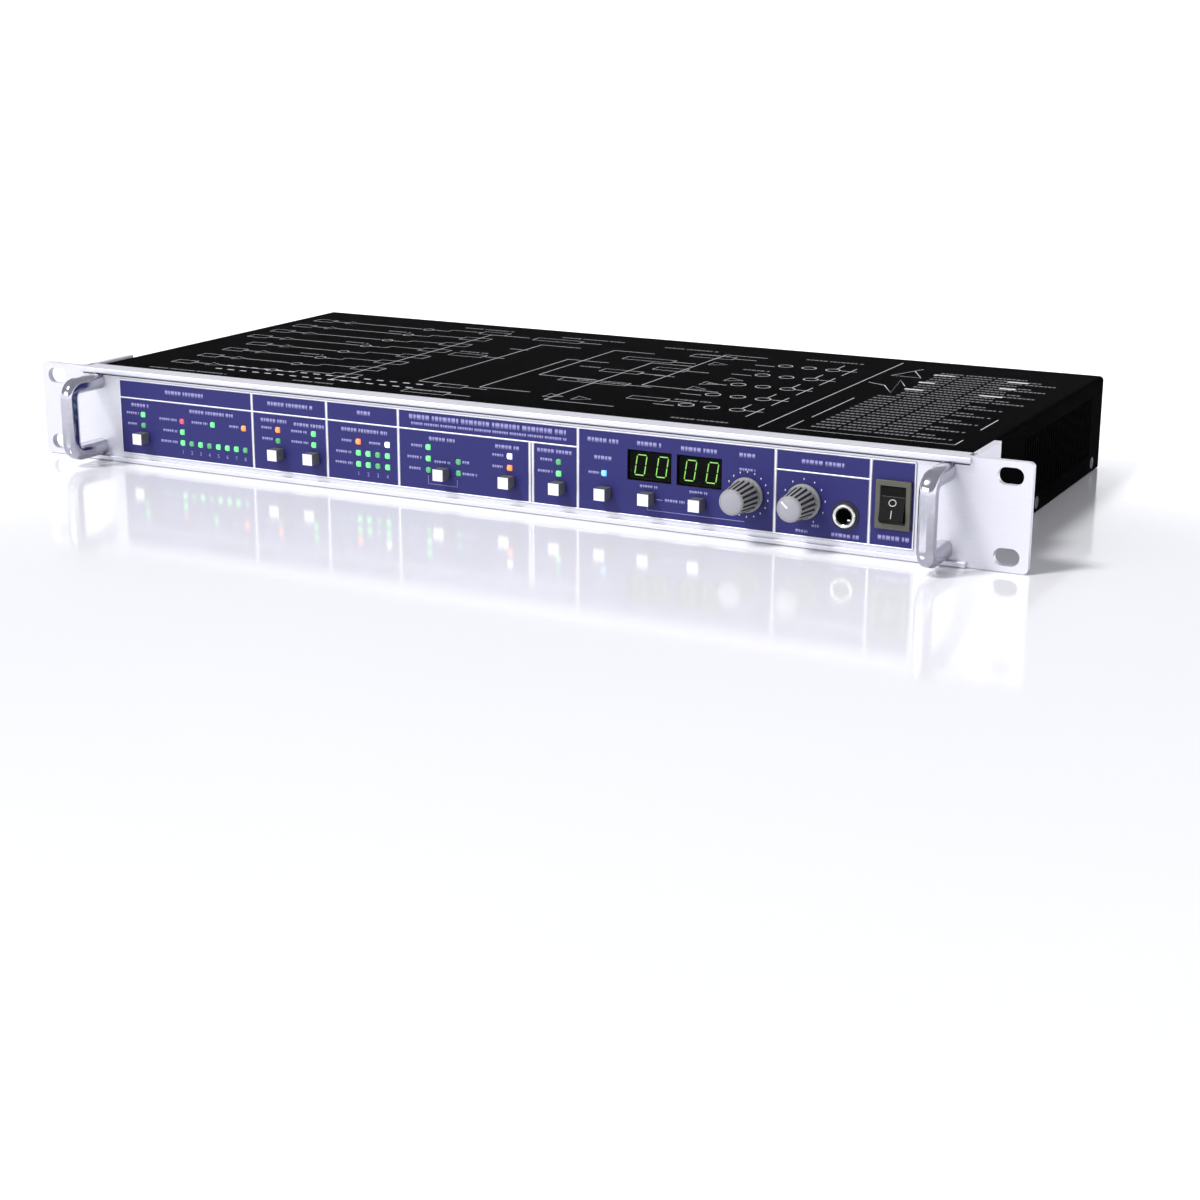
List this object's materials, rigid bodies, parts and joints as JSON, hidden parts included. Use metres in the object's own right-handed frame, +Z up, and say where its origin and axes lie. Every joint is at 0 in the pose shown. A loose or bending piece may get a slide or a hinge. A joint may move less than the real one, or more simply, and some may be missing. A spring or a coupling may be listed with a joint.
{
  "type": "audio interface",
  "caption": "One-unit rack audio interface: aluminium front with handles, buttons, knobs, lights and displays, black steel case, rear panel of digital and analogue sockets.",
  "frame": {"origin": "middle of the case's flat underside", "axes": "+X to the right seen from the front, -Y out of the front panel, +Z up"},
  "size_m": [0.4826, 0.2445, 0.0437],
  "materials": {
    "black_steel": "fine-textured black powder coat",
    "satin_aluminium": "satin anodised",
    "polished_aluminium": "polished",
    "printed_foil": "matt blue printed foil",
    "zinc_steel": "zinc plated",
    "green_lens": "lit green window",
    "orange_lens": "lit orange window",
    "clear_lens": "lit window",
    "display_glass": "smoked window",
    "light_grey_plastic": "moulded, fine texture",
    "knob_plastic": "moulded, fine texture",
    "black_plastic": "moulded",
    "olive_plastic": "moulded dark grey",
    "grey_plastic": "moulded grey",
    "shutter_plastic": "moulded light grey",
    "nickel": "bright nickel plate",
    "white_insulator": "white fluoropolymer",
    "gold_plate": "gold plated",
    "blue_plastic": "moulded blue",
    "board_laminate": "solder mask",
    "component_mix": "epoxy and sleeve",
    "ribbon_vinyl": "ribbed grey vinyl"
  },
  "bodies": {
    "chassis": {"base_tray": "black_steel", "top_cover": "black_steel", "front_frame": "satin_aluminium", "rack_ear_left": "satin_aluminium", "rack_ear_right": "satin_aluminium", "handle_left": "polished_aluminium", "handle_right": "polished_aluminium", "front_foil": "printed_foil", "case_screws": "zinc_steel", "pan_head_screws": "zinc_steel", "board_standoffs": "zinc_steel", "connector_screws": "zinc_steel", "green_leds": "green_lens", "orange_leds": "orange_lens", "status_leds": "clear_lens", "gain_displays": "display_glass", "button_switches": "black_plastic", "set_encoder": "black_plastic", "volume_potentiometer": "black_plastic", "phones_jack": "black_plastic", "dsub_insert": "black_plastic", "optical_port": "black_plastic", "xlr_male_sockets": "black_plastic", "xlr_female_sockets": "black_plastic", "din_sockets": "black_plastic", "power_bezel": "olive_plastic", "mains_inlet": "grey_plastic", "dsub_shell": "nickel", "dsub_jackscrews": "nickel", "bnc_shells": "nickel", "bnc_nuts": "nickel", "bnc_insulators": "white_insulator", "signal_pins": "gold_plate", "mains_pins": "gold_plate", "main_board": "board_laminate", "front_board": "board_laminate", "power_board": "board_laminate", "power_components": "component_mix", "ribbon_cable": "ribbon_vinyl"},
    "front_button_1": {"front_button_1": "light_grey_plastic"},
    "front_button_2": {"front_button_2": "light_grey_plastic"},
    "front_button_3": {"front_button_3": "light_grey_plastic"},
    "front_button_4": {"front_button_4": "light_grey_plastic"},
    "front_button_5": {"front_button_5": "light_grey_plastic"},
    "front_button_6": {"front_button_6": "light_grey_plastic"},
    "front_button_7": {"front_button_7": "light_grey_plastic"},
    "front_button_8": {"front_button_8": "light_grey_plastic"},
    "front_button_9": {"front_button_9": "light_grey_plastic"},
    "set_control": {"set_knob": "knob_plastic", "set_shaft": "zinc_steel"},
    "volume_control": {"volume_knob": "knob_plastic", "volume_shaft": "zinc_steel"},
    "power_rocker": {"power_rocker": "black_plastic"},
    "termination_button": {"termination_button": "blue_plastic"},
    "optical_shutter_left": {"optical_shutter_left": "shutter_plastic"},
    "optical_shutter_right": {"optical_shutter_right": "shutter_plastic"},
    "latch_tab_1": {"latch_tab_1": "nickel"},
    "latch_tab_2": {"latch_tab_2": "nickel"},
    "latch_tab_3": {"latch_tab_3": "nickel"},
    "latch_tab_4": {"latch_tab_4": "nickel"}
  },
  "joints": [
    {"name": "press_front_button_1", "type": "slide", "parent": "chassis", "child": "front_button_1", "axis": [0, 1, 0], "range_m": [0, 0.001], "stiffness_N_per_m": 250, "springref_m": -0.0005},
    {"name": "press_front_button_2", "type": "slide", "parent": "chassis", "child": "front_button_2", "axis": [0, 1, 0], "range_m": [0, 0.001], "stiffness_N_per_m": 250, "springref_m": -0.0005},
    {"name": "press_front_button_3", "type": "slide", "parent": "chassis", "child": "front_button_3", "axis": [0, 1, 0], "range_m": [0, 0.001], "stiffness_N_per_m": 250, "springref_m": -0.0005},
    {"name": "press_front_button_4", "type": "slide", "parent": "chassis", "child": "front_button_4", "axis": [0, 1, 0], "range_m": [0, 0.001], "stiffness_N_per_m": 250, "springref_m": -0.0005},
    {"name": "press_front_button_5", "type": "slide", "parent": "chassis", "child": "front_button_5", "axis": [0, 1, 0], "range_m": [0, 0.001], "stiffness_N_per_m": 250, "springref_m": -0.0005},
    {"name": "press_front_button_6", "type": "slide", "parent": "chassis", "child": "front_button_6", "axis": [0, 1, 0], "range_m": [0, 0.001], "stiffness_N_per_m": 250, "springref_m": -0.0005},
    {"name": "press_front_button_7", "type": "slide", "parent": "chassis", "child": "front_button_7", "axis": [0, 1, 0], "range_m": [0, 0.001], "stiffness_N_per_m": 250, "springref_m": -0.0005},
    {"name": "press_front_button_8", "type": "slide", "parent": "chassis", "child": "front_button_8", "axis": [0, 1, 0], "range_m": [0, 0.001], "stiffness_N_per_m": 250, "springref_m": -0.0005},
    {"name": "press_front_button_9", "type": "slide", "parent": "chassis", "child": "front_button_9", "axis": [0, 1, 0], "range_m": [0, 0.001], "stiffness_N_per_m": 250, "springref_m": -0.0005},
    {"name": "turn_set_knob", "type": "hinge", "parent": "chassis", "child": "set_control", "pos_m": [0.1242, -0.1025, 0.0189], "axis": [0, 1, 0], "continuous": true},
    {"name": "turn_volume_knob", "type": "hinge", "parent": "chassis", "child": "volume_control", "pos_m": [0.149, -0.1025, 0.0189], "axis": [0, 1, 0], "range_deg": [-102, 198]},
    {"name": "tip_power_rocker", "type": "hinge", "parent": "chassis", "child": "power_rocker", "pos_m": [0.1866, -0.1022, 0.02165], "axis": [1, 0, 0], "range_deg": [0, 16]},
    {"name": "press_termination_button", "type": "slide", "parent": "chassis", "child": "termination_button", "axis": [0, -1, 0], "range_m": [0, 0.0006], "stiffness_N_per_m": 250, "springref_m": -0.0005},
    {"name": "swing_optical_shutter_left", "type": "hinge", "parent": "chassis", "child": "optical_shutter_left", "pos_m": [0.1172, 0.10185, 0.0139], "axis": [-1, 0, 0], "range_deg": [0, 75], "stiffness_Nm_per_rad": 0.0003, "springref_deg": -28.65},
    {"name": "swing_optical_shutter_right", "type": "hinge", "parent": "chassis", "child": "optical_shutter_right", "pos_m": [0.1296, 0.10185, 0.0139], "axis": [-1, 0, 0], "range_deg": [0, 75], "stiffness_Nm_per_rad": 0.0003, "springref_deg": -28.65},
    {"name": "press_latch_tab_1", "type": "slide", "parent": "chassis", "child": "latch_tab_1", "axis": [0, -1, 0], "range_m": [0, 0.0015], "stiffness_N_per_m": 400, "springref_m": -0.001},
    {"name": "press_latch_tab_2", "type": "slide", "parent": "chassis", "child": "latch_tab_2", "axis": [0, -1, 0], "range_m": [0, 0.0015], "stiffness_N_per_m": 400, "springref_m": -0.001},
    {"name": "press_latch_tab_3", "type": "slide", "parent": "chassis", "child": "latch_tab_3", "axis": [0, -1, 0], "range_m": [0, 0.0015], "stiffness_N_per_m": 400, "springref_m": -0.001},
    {"name": "press_latch_tab_4", "type": "slide", "parent": "chassis", "child": "latch_tab_4", "axis": [0, -1, 0], "range_m": [0, 0.0015], "stiffness_N_per_m": 400, "springref_m": -0.001}
  ]
}
